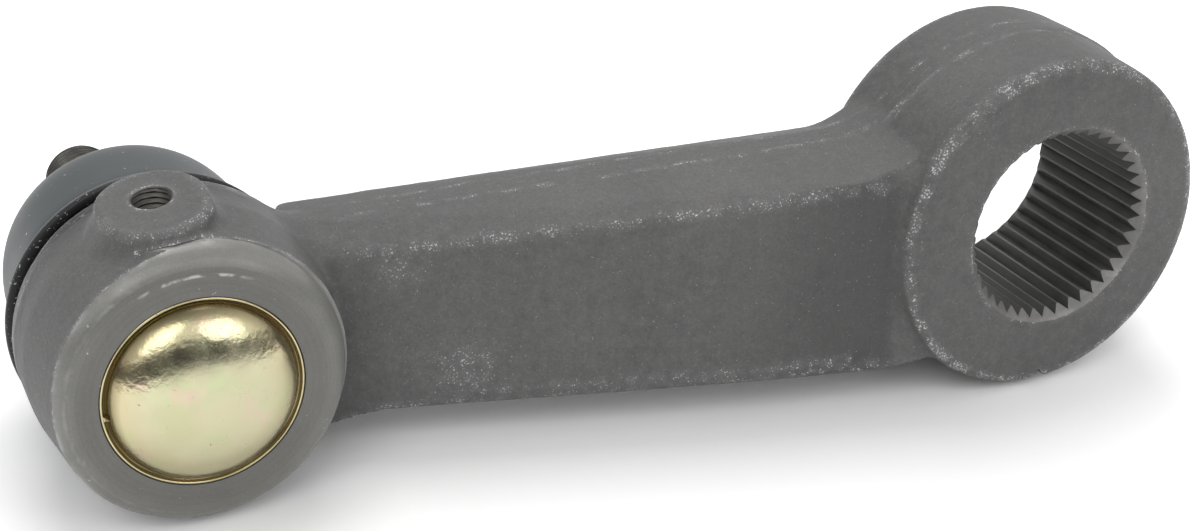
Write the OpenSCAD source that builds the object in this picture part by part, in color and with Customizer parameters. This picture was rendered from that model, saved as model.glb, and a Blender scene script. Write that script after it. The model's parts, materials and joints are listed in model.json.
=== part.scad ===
// Pitman arm: a one-piece forged steering arm with a serrated eye at one end and a
// greaseable ball joint at the other, standing on its lower edge as it rests on a bench.
// X runs along the arm (ball end at -X), Y along both bores towards the stud's tip, Z is up.
// The origin is the middle of the serrated bore.

/* [Arm] */
// Distance between the two bore axes, along X
arm_length = 132.9; // [110:0.1:160]
// How far the ball's centre sits behind the middle of the eye, along Y
ball_setback = 16; // [10:0.5:22]
// Height of the bar's front face next to the ball housing
bar_h_ball = 27.2; // [22:0.1:32]
// Height of the bar's front face next to the eye
bar_h_eye = 32.4; // [26:0.1:36]
// How far the bar's middle lies below the line of the two axes
bar_sink = 3.2; // [0:0.1:4]
// Thickness of the bar next to the ball housing
bar_t_ball = 17.3; // [14:0.1:20]
// Thickness of the bar next to the eye
bar_t_eye = 24.9; // [18:0.1:26]
// How far the bar's rear face lies in front of the eye's rear face
rear_step = 0.5; // [0:0.1:5]
// Width of the trimmed parting band on the bar's edges
band_w = 4.8; // [2:0.1:7]
// Width of the short drafted face behind the parting band
rear_slope = 6; // [3:0.1:7]
// Rise of the long drafted face, from the bar's front edge to the parting band
draft_rise = 2.3; // [0.5:0.1:3]
// Fall of the short drafted face next to the ball housing
rear_fall_ball = 0.3; // [0.2:0.1:1.5]
// Fall of the short drafted face next to the eye
rear_fall_eye = 1.3; // [0.2:0.1:2]
// Edge rounding of the forging
edge_r = 1.8; // [0.8:0.1:2.5]
// Fillet between the bar and the eye, above
eye_fillet = 22; // [8:0.5:28]
// Fillet between the bar and the eye, below
eye_fillet_low = 4; // [2:0.5:8]
// Fillet between the bar and the ball housing, above
ball_fillet = 12; // [4:0.5:16]
// Fillet between the bar and the ball housing, below
ball_fillet_low = 19; // [4:0.5:22]

/* [Serrated eye] */
// Largest radius of the eye, on its parting band
eye_r = 28; // [25:0.1:32]
// Length of the eye along its bore
eye_length = 27.5; // [22:0.5:34]
// How much smaller the eye is at its front edge
eye_draft = 0.8; // [0.2:0.1:2]
// How far the forged outside of the eye lies off the bore's axis, towards the bar
eye_shift = 1.3; // [0:0.1:2]
// How far the eye's rear half lies off its front half, away from the bar
eye_mismatch = 0.8; // [0:0.1:1.2]
// Radius to the tips of the serrations
tip_r = 14.7; // [12:0.1:18]
// Depth of the serrations
serration_depth = 1.15; // [0.6:0.05:1.4]
// Width of a serration groove at its mouth
serration_mouth = 2.05; // [0.8:0.05:2.1]
// Number of serrations
serrations = 40; // [30:1:44]
// Reach of the bore's lead-in chamfers past the groove bottoms
lead_in = 0.5; // [0.2:0.1:1]
// Width of the index notch in the eye's front rim
notch_w = 3; // [1:0.5:5]
// Direction of the index notch, turned from +X towards +Z
notch_angle = -90; // [-110:1:-60]

/* [Ball housing] */
// Largest radius of the ball housing, on its parting band
housing_r = 22.5; // [21.5:0.1:26]
// How far the forged outside of the housing lies off the ball's axis, towards the bar
housing_shift = 0.6; // [0:0.1:1.5]
// Fall of the housing's radius from its parting band to its front
housing_draft = 1.6; // [0.2:0.1:2]
// Distance from the ball's centre to the machined front face
face_reach = 16.4; // [15:0.1:20]
// Distance from the ball's centre to the rear face
rear_reach = 14; // [13:0.1:18]
// Outer radius of the machined ring round the cap
ring_r = 21.4; // [18:0.1:22]
// Radius of the socket bore
socket_r = 13.2; // [12.9:0.1:14]
// Depth of the counterbore that the cap is pressed into
cap_seat_depth = 4; // [3:0.1:5]
// Radius of the round rear end that the boot's skirt covers
collar_r = 19.4; // [17:0.1:20]
// Height of each turned step behind the ring
turned_step = 0.4; // [0.2:0.1:0.8]
// Thickness of the lip behind the upper seat
lip_t = 3.8; // [2.5:0.1:5]

/* [Grease boss] */
// Radius of the boss's flat top
boss_r = 7.4; // [5:0.1:9]
// Height of the boss's flat above the ball's centre
boss_reach = 24.6; // [24:0.1:28]
// How much longer the boss is towards the front face than it is wide
boss_stretch = 2; // [0:0.1:4]
// Lean of the boss towards the front face
boss_lean = 7; // [0:0.5:12]
// Lean of the boss away from the bar
boss_tilt = 4.5; // [0:0.5:8]
// Radius of the tapped hole for the grease fitting
grease_r = 2.8; // [2:0.1:4]
// Depth of the tapped hole
grease_depth = 7; // [4:0.5:8]
// Radius of the passage from the tapped hole to the socket
passage_r = 1.5; // [0.8:0.1:1.9]

/* [Cap and spring] */
// Outer radius of the cap's rim
cap_r = 14.4; // [14:0.1:16]
// Sheet thickness of the cap
cap_t = 0.8; // [0.6:0.1:1.2]
// Thickness of the cap's rim at its edge
rim_t = 0.4; // [0.2:0.1:0.6]
// Height of the cap's dome above its rim
dome_h = 4.6; // [3:0.1:7]
// Radius of the dome's flat top
dome_flat_r = 7.6; // [5:0.1:9]
// Width of the groove between the rim and the dome, at its floor
groove_w = 0.2; // [0.2:0.1:1]
// Thickness of the pressure pad between the spring and the ball
pad_t = 2.6; // [2:0.1:3.5]
// Wire radius of the preload spring
wire_r = 0.9; // [0.5:0.1:1.2]
// Turns of the preload spring
spring_turns = 2.5; // [2:0.25:3]

/* [Ball stud] */
// Radius of the ball
ball_r = 12; // [10:0.1:12.3]
// Radius of the stud's neck
neck_r = 5.8; // [5:0.1:6.2]
// Radius of the taper's large end
taper_r = 8.6; // [8:0.1:9]
// Distance from the ball's centre to the taper's large end
taper_start = 27; // [25:0.5:28]
// Length of the taper
taper_length = 24; // [20:0.5:28]
// Fall of the taper's radius for each unit of length
taper_slope = 0.0625; // [0.04:0.0025:0.075]
// Radius of the stud's thread
thread_r = 6; // [5:0.05:6.6]
// Distance from the ball's centre to the stud's tip
stud_reach = 67.6; // [62:0.1:74]
// Running gap between the ball and its seats
ball_gap = 0.15; // [0.1:0.01:0.2]

/* [Dust boot] */
// Outer radius of the boot's brim
brim_r = 22.1; // [21.2:0.1:24]
// Distance from the ball's centre to the brim's edge
brim_reach = 10.4; // [10:0.1:12.5]
// Distance from the ball's centre to the crease above the brim
crease_reach = 15.3; // [14.5:0.1:17]
// Radius of the boot at the crease
crease_r = 19.2; // [19:0.1:22]
// Largest radius of the boot's dome
dome_r = 19.8; // [19.4:0.1:22]
// Distance from the ball's centre to the end of the dome
dome_reach = 37; // [34:0.5:38]
// Wall thickness of the boot
boot_t = 1.4; // [1:0.1:1.6]
// Width of the ring in the boot's neck
neck_ring_w = 2.6; // [2:0.1:4]
// Wall thickness of the ring in the boot's neck
neck_ring_t = 1.5; // [1:0.1:2]

/* [Hidden] */
$fn = 96;
hair = 0.02;
// Press and slip clearance of pieces that stay put
fit_gap = 0.1;
// Gap between the soft boot and what it closes on
soft_gap = 0.2;
// Room between the boot's skirt and the forging
skirt_gap = 0.8;
// Both round ends stand on one level, so the smaller one sits lower
ball_drop = eye_r - housing_r;
ball_centre = [-arm_length, ball_setback, -ball_drop];
// The housing's parting band, measured along Y from the ball's centre
band_front = -2;
band_rear = 7;
root_r = tip_r + serration_depth;
chamfer_r = root_r + lead_in;
chamfer_depth = chamfer_r - tip_r;
seat_r = ball_r + ball_gap;
liner_r = socket_r - fit_gap;
lip_front = rear_reach - lip_t;
cap_floor = face_reach - cap_seat_depth;
boot_neck_r = taper_r + neck_ring_t + soft_gap;

// Points of an arc in the plane of a profile
function arc(c, r, a0, a1, n = 6) =
    [for (i = [0:n]) c + r * [cos(a0 + (a1 - a0) * i / n), sin(a0 + (a1 - a0) * i / n)]];
function turned(p, a) = [p.x * cos(a) - p.y * sin(a), p.x * sin(a) + p.y * cos(a)];
function mix(a, b, t) = a + (b - a) * t;

// Radius of the stud's taper at a distance from the ball's centre
function taper_at(d) = taper_r - taper_slope * (d - taper_start);

// Stands a profile of radius against distance along the bore on an axis through p
module revolve_at(p) translate(p) rotate([-90, 0, 0]) rotate_extrude() children();

// Extrudes an outline drawn in X and Z between two places along Y
module across(y0, y1) translate([0, y1, 0]) rotate([90, 0, 0]) linear_extrude(y1 - y0) children();

// Height of the middle of the bar at a place along the arm
function bar_mid(x) = -bar_sink + ball_drop * x / arm_length;

// One cross-section of the bar, drafted both ways from its parting band
module bar_section(x, front, t, h, fall) {
    band_end = t - rear_slope;
    rear = draft_rise - fall;
    top = concat(
        arc([edge_r, -edge_r], edge_r, 180, 90, 3),
        [[band_end - band_w, draft_rise], [band_end, draft_rise]],
        arc([t - edge_r, rear - edge_r], edge_r, 90, 0, 3));
    upper = [for (p = top) [front + p.x, bar_mid(x) + h / 2 + p.y]];
    lower = [for (i = [len(top) - 1:-1:0]) [front + top[i].x, bar_mid(x) - h / 2 - top[i].y]];
    translate([x, 0, 0]) rotate([90, 0, 90]) linear_extrude(hair) polygon(concat(upper, lower));
}

// Places where the bar leaves the two round ends, and its front face there
bar_x_ball = -arm_length + housing_r - edge_r;
bar_x_eye = -eye_shift - eye_r - edge_r;
bar_front_ball = ball_setback + rear_reach - bar_t_ball;
bar_front_eye = eye_length / 2 - rear_step - bar_t_eye;

module bar() {
    at_ball = [bar_front_ball, bar_t_ball, bar_h_ball, rear_fall_ball];
    at_eye = [bar_front_eye, bar_t_eye, bar_h_eye, rear_fall_eye];
    stations = [[-arm_length + housing_r / 2, at_ball], [bar_x_ball, at_ball], [bar_x_eye, at_eye],
                [-eye_r / 3, at_eye]];
    for (i = [0:len(stations) - 2])
        hull()
            for (s = [stations[i], stations[i + 1]])
                bar_section(s[0], s[1][0], s[1][1], s[1][2], s[1][3]);
}

// The bar's front face at a place along the arm
function bar_front(x) = mix(bar_front_ball, bar_front_eye,
    min(1, max(0, (x - bar_x_ball) / (bar_x_eye - bar_x_ball))));

// The bar's upper and lower edges in side view
function edge_z(side, x) = bar_mid(x) + side * mix(bar_h_ball, bar_h_eye,
    (x - bar_x_ball) / (bar_x_eye - bar_x_ball)) / 2;
function edge_angle(side) = atan2(edge_z(side, bar_x_eye) - edge_z(side, bar_x_ball), bar_x_eye - bar_x_ball);

// Outline of the concave corner of radius f between a round end and an edge through p at angle a
function corner_points(c, r, f, p, a, side) = let (
        cc = turned(c, -a),
        edge = turned(p, -a).y,
        rise = edge + f - cc.y,
        fc = [cc.x + side * sqrt((r + f) * (r + f) - rise * rise), edge + f],
        bend = arc(fc, f, atan2(cc.y - fc.y, cc.x - fc.x), -90, 8))
    [for (q = concat([[bend[0].x, edge - 2 * edge_r]], bend, [[fc.x, edge - 2 * edge_r]])) turned(q, a)];

// Solid concave corner: each cut is its depth behind the bar's front face, the edge's rise and the rim's inset
module corner_web(c, r, f, p, a, side, cuts) {
    loops = [for (k = cuts) corner_points(c, r - k[2], f + k[2], p + [0, k[1] - k[2]], a, side)];
    n = len(loops[0]);
    last = (len(cuts) - 1) * n;
    points = [for (i = [0:len(cuts) - 1]) for (q = loops[i]) [q.x, bar_front(q.x) + cuts[i][0], q.y]];
    walls = [for (i = [0:len(cuts) - 2]) for (k = [0:n - 1]) let (b = i * n + k, d = i * n + (k + 1) % n)
        for (face = [[b, d, d + n], [b, d + n, b + n]]) face];
    ends = [for (k = [1:n - 2]) for (face = [[0, k + 1, k], [last, last + k, last + k + 1]]) face];
    polyhedron(points, [for (face = concat(walls, ends)) side > 0 ? [face[2], face[1], face[0]] : face]);
}

module bar_corners() {
    ball_xz = [ball_centre.x + housing_shift, ball_centre.z];
    over = [bar_x_eye, edge_z(1, bar_x_eye)];
    under = [bar_x_eye, -edge_z(-1, bar_x_eye)];
    eye_xz = [eye_mismatch - eye_shift, 0];
    eye_edge = eye_r - eye_draft - hair;
    housing_edge = housing_r - hair;
    band_eye = bar_t_eye - rear_slope;
    band_ball = bar_t_ball - rear_slope;
    eye_cuts = [[0, 0, edge_r], [edge_r, 0, 0], [band_eye - band_w, draft_rise, 0], [band_eye, draft_rise, 0],
                [bar_t_eye - edge_r, draft_rise - rear_fall_eye, 0],
                [bar_t_eye - edge_r / 2, draft_rise - rear_fall_eye, edge_r]];
    ball_cuts = [[0, 0, edge_r], [edge_r, 0, 0], [band_ball - band_w, draft_rise, 0],
                 [ball_setback + band_rear - bar_front_ball, draft_rise, 0]];
    corner_web(eye_xz, eye_edge, eye_fillet, over, edge_angle(1), -1, eye_cuts);
    corner_web(ball_xz, housing_edge, ball_fillet, over, edge_angle(1), 1, ball_cuts);
    mirror([0, 0, 1]) {
        corner_web(eye_xz, eye_edge, eye_fillet_low, under, -edge_angle(-1), -1, eye_cuts);
        corner_web([ball_xz.x, -ball_xz.y], housing_edge, ball_fillet_low, under, -edge_angle(-1), 1, ball_cuts);
    }
}

// The eye's body: a front half drafted from the parting line, and a rear half that the dies left a little off it
module eye_body() {
    half = eye_length / 2;
    front_r = eye_r - eye_draft;
    revolve_at([-eye_shift, 0, 0]) polygon(concat(
        [[0, -half]],
        arc([front_r - edge_r, edge_r - half], edge_r, -90, 0),
        [[eye_r, 0], [0, 0]]));
    revolve_at([eye_mismatch - eye_shift, 0, 0]) polygon(concat(
        [[0, -edge_r], [eye_r - edge_r, -edge_r], [eye_r, 0]],
        arc([eye_r - edge_r, half - edge_r], edge_r, 0, 90),
        [[0, half]]));
}

// Serrated bore with lead-in chamfers, as a cutter
module serrated_bore() {
    half = eye_length / 2;
    across(-half - 1, half + 1) {
        circle(tip_r);
        for (i = [0:serrations - 1])
            rotate(360 * (i + 0.5) / serrations)
                polygon([[tip_r - 1, -serration_mouth / 2], [tip_r, -serration_mouth / 2], [root_r, 0],
                         [tip_r, serration_mouth / 2], [tip_r - 1, serration_mouth / 2]]);
    }
    for (s = [-1, 1])
        translate([0, s * (half + hair), 0])
            rotate([s * 90, 0, 0])
                cylinder(r1 = chamfer_r + hair, r2 = tip_r - hair, h = chamfer_depth + 2 * hair);
}

module index_notch() {
    translate([-eye_shift, -eye_length / 2, 0])
        rotate([0, -notch_angle, 0])
            translate([eye_r - eye_draft, 0, 0])
                rotate([0, 45, 0])
                    cube([notch_w / sqrt(2), eye_length / 3, notch_w / sqrt(2)], center = true);
}

// All that the lathe leaves of the housing's front: the rounded ring and two steps behind it
module turned_front() {
    ring_round = 4;
    first = ring_r + turned_step;
    second = first + turned_step;
    back = ring_round - face_reach;
    revolve_at(ball_centre) polygon(concat(
        [[0, -face_reach]],
        arc([ring_r - ring_round, back], ring_round, -90, 0),
        [[first, back], [first, back + turned_step], [second, back + turned_step], [second, back + 2 * turned_step],
         [2 * housing_r, back + 2 * turned_step], [2 * housing_r, rear_reach], [0, rear_reach]]));
}

// The ball housing: drafted forging with its turned front, and the turned end under the boot
module housing_body() {
    relief = 0.8;
    intersection() {
        revolve_at(ball_centre + [housing_shift, 0, 0]) polygon([
            [0, -face_reach], [housing_r - housing_draft, -face_reach], [housing_r, band_front], [housing_r, band_rear],
            [collar_r + relief, lip_front - relief], [0, lip_front - relief]]);
        turned_front();
    }
    revolve_at(ball_centre) polygon([
        [0, 0], [collar_r, 0], [collar_r, rear_reach - edge_r], [collar_r - edge_r, rear_reach], [0, rear_reach]]);
}

// Counterbore, socket and flared stud opening, as a cutter
module socket() {
    throat_r = taper_r + 2;
    mouth_r = throat_r + 1.6;
    revolve_at(ball_centre) polygon([
        [0, -face_reach - 1], [cap_r + fit_gap, -face_reach - 1], [cap_r + fit_gap, -cap_floor],
        [socket_r, -cap_floor], [socket_r, lip_front], [throat_r, lip_front], [mouth_r, rear_reach],
        [mouth_r, rear_reach + 1], [0, rear_reach + 1]]);
}

// Turned relief round the rear end that leaves room for the boot's skirt, as a cutter
module skirt_relief() {
    front = brim_reach - skirt_gap;
    back = rear_reach + rear_slope;
    revolve_at(ball_centre) polygon([
        [collar_r, front], [brim_r + skirt_gap, front], [brim_r + skirt_gap, back], [collar_r - edge_r, back],
        [collar_r - edge_r, rear_reach], [collar_r, rear_reach - edge_r]]);
}

// Turns an upright shape into the line of the grease boss, through the ball's centre
module on_boss_axis() translate(ball_centre) rotate([0, -boss_tilt, 0]) rotate([boss_lean, 0, 0]) children();

module grease_boss() {
    foot = 2.2;
    rim = 0.7;
    on_boss_axis() for (shift = [0, boss_stretch])
        translate([0, -shift, 0]) rotate_extrude() polygon([
            [0, socket_r + 1], [boss_r + foot, socket_r + 1], [boss_r + foot, housing_r - 2],
            [boss_r + rim, housing_r - 0.2], [boss_r + rim, boss_reach - rim], [boss_r, boss_reach],
            [0, boss_reach]]);
}

module grease_hole() {
    on_boss_axis() {
        translate([0, 0, boss_reach - grease_depth]) cylinder(r = grease_r, h = grease_depth + 1);
        cylinder(r = passage_r, h = boss_reach, $fn = 32);
    }
}

module arm_forging() {
    color("dimgray") difference() {
        union() {
            eye_body();
            housing_body();
            bar();
            bar_corners();
            grease_boss();
        }
        serrated_bore();
        index_notch();
        socket();
        skirt_relief();
        grease_hole();
    }
}

// Pressed cap: upturned rim, groove and a domed middle that houses the spring
module end_cap() {
    shoulder_r = cap_r - cap_t - groove_w - dome_flat_r;
    top = face_reach + dome_h;
    bend = [dome_flat_r, shoulder_r - top];
    color("goldenrod") revolve_at(ball_centre) polygon(concat(
        [[0, -top]],
        arc(bend, shoulder_r, -90, 0, 8),
        [[dome_flat_r + shoulder_r, -cap_floor - cap_t],
         [cap_r - cap_t, -cap_floor - cap_t], [cap_r - rim_t, -face_reach], [cap_r, -face_reach],
         [cap_r, -cap_floor], [dome_flat_r + shoulder_r - cap_t, -cap_floor]],
        arc(bend, shoulder_r - cap_t, 0, -90, 8),
        [[0, cap_t - top]]));
}

// Distance from the ball's centre to the two faces that hold the spring
spring_front = face_reach + dome_h - cap_t;
spring_back = ball_r + pad_t;
spring_r = dome_flat_r - wire_r;

// Coil spring with ends ground flat against the dome and the pad
module preload_spring() {
    sides = 8;
    steps = 16;
    rings = round(spring_turns * steps);
    run = spring_front - spring_back;
    ring = [for (i = [0:rings]) let (t = 360 * spring_turns * i / rings)
        [for (k = [0:sides - 1]) let (a = 360 * k / sides, r = spring_r + wire_r * cos(a))
            [r * cos(t), r * sin(t), run * i / rings + wire_r * sin(a)]]];
    sweep = [for (loop = ring) for (p = loop) p];
    sides_faces = [for (i = [0:rings - 1]) for (k = [0:sides - 1]) let (n = (k + 1) % sides)
        [i * sides + k, (i + 1) * sides + k, (i + 1) * sides + n, i * sides + n]];
    first = [for (k = [0:sides - 1]) k];
    last = [for (k = [sides - 1:-1:0]) rings * sides + k];
    color("silver") translate(ball_centre - [0, spring_front, 0]) rotate([-90, 0, 0]) intersection() {
        polyhedron(sweep, concat(sides_faces, [first, last]));
        cylinder(r = spring_r + 2 * wire_r, h = run);
    }
}

// Cup that the spring presses against the front of the ball
module pressure_pad() {
    hub_r = cap_r - 2 * cap_t - groove_w - fit_gap;
    cup_edge = ball_r / 4;
    color("lightsteelblue") difference() {
        revolve_at(ball_centre) polygon([
            [0, -spring_back], [hub_r, -spring_back], [hub_r, fit_gap - cap_floor], [liner_r, fit_gap - cap_floor],
            [liner_r, -cup_edge], [0, -cup_edge]]);
        translate(ball_centre) sphere(seat_r);
    }
}

// Ring-shaped seat that holds the ball from behind
module upper_seat() {
    neck_room = neck_r + 3.5;
    flare = 0.8;
    split = 0.5;
    color("lightsteelblue") difference() {
        revolve_at(ball_centre) polygon([
            [neck_room, split], [liner_r, split], [liner_r, lip_front], [neck_room + flare, lip_front],
            [neck_room, lip_front - 2 * flare]]);
        translate(ball_centre) sphere(seat_r);
    }
}

// Ball, neck, locking taper and threaded end in one piece
module ball_stud() {
    taper_end = taper_start + taper_length;
    shoulder = taper_start - 4;
    neck_end = shoulder - 5;
    runout = 1;
    tip_chamfer = 1.2;
    color("black") {
        revolve_at(ball_centre) polygon([
            [0, 0], [neck_r, 0], [neck_r, neck_end], [taper_r, shoulder], [taper_r, taper_start],
            [taper_at(taper_end), taper_end], [thread_r, taper_end + runout], [thread_r, stud_reach - tip_chamfer],
            [thread_r - tip_chamfer, stud_reach], [0, stud_reach]]);
        translate(ball_centre) sphere(ball_r);
    }
}

// Points of the boot's dome, a squarish quarter round from the crease to the neck, w inside its skin
function boot_dome(w, n = 10) = let (p = 4.4, base = crease_reach + 2.4,
        last = acos(pow((boot_neck_r + boot_t) / (dome_r - w), p / 2)))
    [for (i = [0:n]) let (a = last * i / n)
        [(dome_r - w) * pow(cos(a), 2 / p), base + (dome_reach - w - base) * pow(sin(a), 2 / p)]];
function reversed(list) = [for (i = [len(list) - 1:-1:0]) list[i]];

module dust_boot() {
    lip_r = 0.7;
    skin = concat(
        [[brim_r - boot_t, brim_reach], [brim_r - lip_r / 2, brim_reach], [brim_r, brim_reach + lip_r],
         [crease_r, crease_reach]],
        boot_dome(0));
    lining = concat(reversed(boot_dome(boot_t)), [[crease_r - boot_t, crease_reach]]);
    neck = [[boot_neck_r + boot_t / 2, dome_reach], [boot_neck_r, dome_reach],
            [boot_neck_r, dome_reach - neck_ring_w - boot_t]];
    color("darkslategray") revolve_at(ball_centre) polygon(concat(skin, neck, lining));
}

// Ring that holds the boot's neck round the taper
module neck_ring() {
    back = dome_reach - soft_gap;
    front = back - neck_ring_w;
    color("gray") revolve_at(ball_centre) polygon([
        [taper_at(front) + fit_gap, front], [taper_r + neck_ring_t, front], [taper_r + neck_ring_t, back],
        [taper_at(back) + fit_gap, back]]);
}

arm_forging();
end_cap();
preload_spring();
pressure_pad();
upper_seat();
ball_stud();
dust_boot();
neck_ring();
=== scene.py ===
"""Looks of the pitman arm: forged, turned, plated and rubber surfaces and cut threads, in a plain studio."""

import json
import math

import bmesh
import bpy
import numpy as np
from mathutils import Matrix, Vector, kdtree, noise


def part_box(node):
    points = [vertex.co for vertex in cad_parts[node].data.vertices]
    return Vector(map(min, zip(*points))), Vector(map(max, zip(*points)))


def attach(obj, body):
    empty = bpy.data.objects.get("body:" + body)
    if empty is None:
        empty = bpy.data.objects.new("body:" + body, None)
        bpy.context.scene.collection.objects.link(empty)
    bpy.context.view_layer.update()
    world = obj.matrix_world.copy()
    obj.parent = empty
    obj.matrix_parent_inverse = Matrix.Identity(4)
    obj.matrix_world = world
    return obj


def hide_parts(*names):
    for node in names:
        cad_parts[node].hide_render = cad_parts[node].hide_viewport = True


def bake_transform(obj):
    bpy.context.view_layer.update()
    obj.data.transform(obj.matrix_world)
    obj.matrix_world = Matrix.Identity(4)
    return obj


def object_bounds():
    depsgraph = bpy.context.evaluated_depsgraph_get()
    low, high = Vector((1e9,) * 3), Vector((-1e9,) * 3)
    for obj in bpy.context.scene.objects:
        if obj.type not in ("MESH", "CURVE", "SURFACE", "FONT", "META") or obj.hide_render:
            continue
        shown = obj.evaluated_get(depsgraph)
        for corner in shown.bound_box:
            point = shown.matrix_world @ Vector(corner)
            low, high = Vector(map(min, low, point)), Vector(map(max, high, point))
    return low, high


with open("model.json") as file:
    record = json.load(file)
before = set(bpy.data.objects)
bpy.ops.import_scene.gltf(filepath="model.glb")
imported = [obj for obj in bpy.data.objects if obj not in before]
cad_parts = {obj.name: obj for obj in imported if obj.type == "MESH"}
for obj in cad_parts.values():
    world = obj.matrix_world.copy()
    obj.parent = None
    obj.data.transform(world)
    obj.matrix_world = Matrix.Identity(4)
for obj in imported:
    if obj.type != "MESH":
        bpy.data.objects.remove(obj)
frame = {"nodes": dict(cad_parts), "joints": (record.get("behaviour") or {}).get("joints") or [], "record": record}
cad_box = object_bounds()
scene = bpy.context.scene

# Units: every size below is in millimetres, and MM turns it into the frame's metres
MM = 0.001

# Places and sizes read from the frame
mounts = {m["name"]: m for m in frame["record"]["mounts"]}
BALL = Vector(frame["joints"][0]["pos_m"]) / MM
EYE_HALF = -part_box("arm_forging")[0].y / MM
FLOOR_Z = cad_box[0].z / MM
FACE_REACH = BALL.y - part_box("end_cap")[0].y / MM
TIP_R = mounts["spline_bore"]["dims"]["r_mm"]
THREAD_R = mounts["stud_thread"]["dims"]["r_mm"]
GREASE_R = mounts["grease_hole"]["dims"]["r_mm"]
GREASE_DEPTH = mounts["grease_hole"]["dims"]["length_mm"]
GREASE_AXIS = Vector(mounts["grease_hole"]["axis"])
BOSS_TOP = Vector(mounts["grease_hole"]["pos_m"]) / MM + GREASE_AXIS * GREASE_DEPTH / 2
STUD_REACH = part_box("ball_stud")[1].y / MM - BALL.y
CAP_R = (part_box("end_cap")[1].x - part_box("end_cap")[0].x) / MM / 2
CAP_BACK = BALL.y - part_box("end_cap")[1].y / MM
BRIM_R = (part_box("dust_boot")[1].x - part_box("dust_boot")[0].x) / MM / 2
BRIM_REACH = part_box("dust_boot")[0].y / MM - BALL.y
DOME_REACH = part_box("dust_boot")[1].y / MM - BALL.y

# Sizes that the frame does not state
DOME_H = 4.6
RING_FACE = FACE_REACH - DOME_H
RING_R = 21.4
RING_ROUND = 4.0
TURNED_STEP = 0.4
HOUSING_R = 22.5
HOUSING_FRONT_R = 20.9
HOUSING_BAND = (-2.0, 7.0)
HOUSING_SHIFT = Vector((0.6, 0, 0))
REAR_REACH = 14.0
SOCKET_R = 13.2
LIP_REACH = 10.2
THROAT_R = 10.6
THROAT_FLARE = 1.6
SERRATIONS = 40
SERRATION_DEPTH = 1.15
SERRATION_MOUTH = 1.95
LEAD_IN = 0.5
NOTCH_REACH = 27.4
NOTCH_HALF = 2.5
NOTCH_ANGLE = -90
EYE_SHIFT = 1.3
BAR_X = (-112.2, -31.1)
BAR_FRONT = (12.7, -11.65)
BAR_T = (17.3, 24.9)
BALL_R = 12
NECK_R = 5.8
TAPER_R = 8.6
TAPER_START = 27
TAPER_LENGTH = 24
TAPER_SLOPE = 0.0625
STUD_PITCH = 1.27
STUD_THREAD_DEPTH = 0.72
GREASE_PITCH = 0.907
GREASE_THREAD_DEPTH = 0.42
CAP_SHEET = 0.8
CAP_GROOVE = 0.65
CROWN_FALL = 6.4
CROWN_POWER = 0.91
BURR_ANGLE = 184
BOOT_WALL = 1.4
BOOT_DOME_R = 19.8
BOOT_DOME_POWER = 4.4
BOOT_NECK_R = TAPER_R + 1.7
BOOT_SPLIT = 26.0
CREASE_R = 19.2
CREASE_REACH = 15.3
SPRING_NARROWING = 0.8


# Mesh helpers

def link(name, mesh):
    obj = bpy.data.objects.new(name, mesh)
    scene.collection.objects.link(obj)
    return obj


def mesh_of(name, points, faces):
    """Object from points in millimetres, with its faces turned outwards."""
    mesh = bpy.data.meshes.new(name)
    mesh.from_pydata([Vector(p) * MM for p in points], [], faces)
    bm = bmesh.new()
    bm.from_mesh(mesh)
    bmesh.ops.recalc_face_normals(bm, faces=bm.faces)
    bm.to_mesh(mesh)
    bm.free()
    return link(name, mesh)


def arc(r, y, radius, start, end, steps):
    """Points of an arc in a profile of radius against distance."""
    angles = [math.radians(start + (end - start) * i / steps) for i in range(steps + 1)]
    return [(r + radius * math.cos(a), y + radius * math.sin(a)) for a in angles]


def spun(name, rows, place, segments, loop=False):
    """Solid of revolution: each row is (radius or one radius per segment, distance along local Y)."""
    turn = np.arange(segments) * 2 * math.pi / segments
    points, rings = [], []
    for radius, y in rows:
        radii = np.broadcast_to(np.asarray(radius, float), (segments,))
        first = len(points)
        if radii.max() < 1e-6:
            points.append(place @ Vector((0, y, 0)))
            rings.append([first] * segments)
        else:
            points += [place @ Vector((r * math.cos(a), y, r * math.sin(a))) for r, a in zip(radii, turn)]
            rings.append(list(range(first, first + segments)))
    pairs = list(zip(rings, rings[1:])) + ([(rings[-1], rings[0])] if loop else [])
    faces = []
    for low, high in pairs:
        for i in range(segments):
            j = (i + 1) % segments
            corners = [low[i], low[j], high[j], high[i]]
            face = [c for k, c in enumerate(corners) if c not in corners[:k]]
            if len(face) > 2:
                faces.append(face)
    return mesh_of(name, points, faces)


def thread_rows(root, crest, pitch, start, end, segments, fade):
    """Rows of a right-hand vee thread whose height fades out over the given lengths at each end."""
    rows_per_turn = 10
    peak, flank = 1.12, 2.3
    count = int((end - start) / pitch * rows_per_turn)
    turn = np.arange(segments) / segments
    rows = []
    for i in range(count + 1):
        y = start + (end - start) * i / count
        phase = (y / pitch + turn) % 1.0
        vee = np.clip(peak - flank * np.abs(phase - 0.5), 0, 1)
        height = min(1.0, (y - start) / fade[0] + 1e-3, (end - y) / fade[1] + 1e-3)
        rows.append((root + (crest - root) * vee * height, y))
    return rows


def at_ball():
    return Matrix.Translation(BALL)


def joined(name, objects):
    """One object that holds copies of all the meshes, and the objects are gone."""
    bm = bmesh.new()
    for obj in objects:
        bm.from_mesh(obj.data)
        bpy.data.objects.remove(obj)
    mesh = bpy.data.meshes.new(name)
    bm.to_mesh(mesh)
    bm.free()
    return link(name, mesh)


def applied(obj):
    """Replaces the object's mesh by what its modifiers make of it."""
    graph = bpy.context.evaluated_depsgraph_get()
    made = bpy.data.meshes.new_from_object(obj.evaluated_get(graph))
    obj.modifiers.clear()
    obj.data = made


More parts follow.
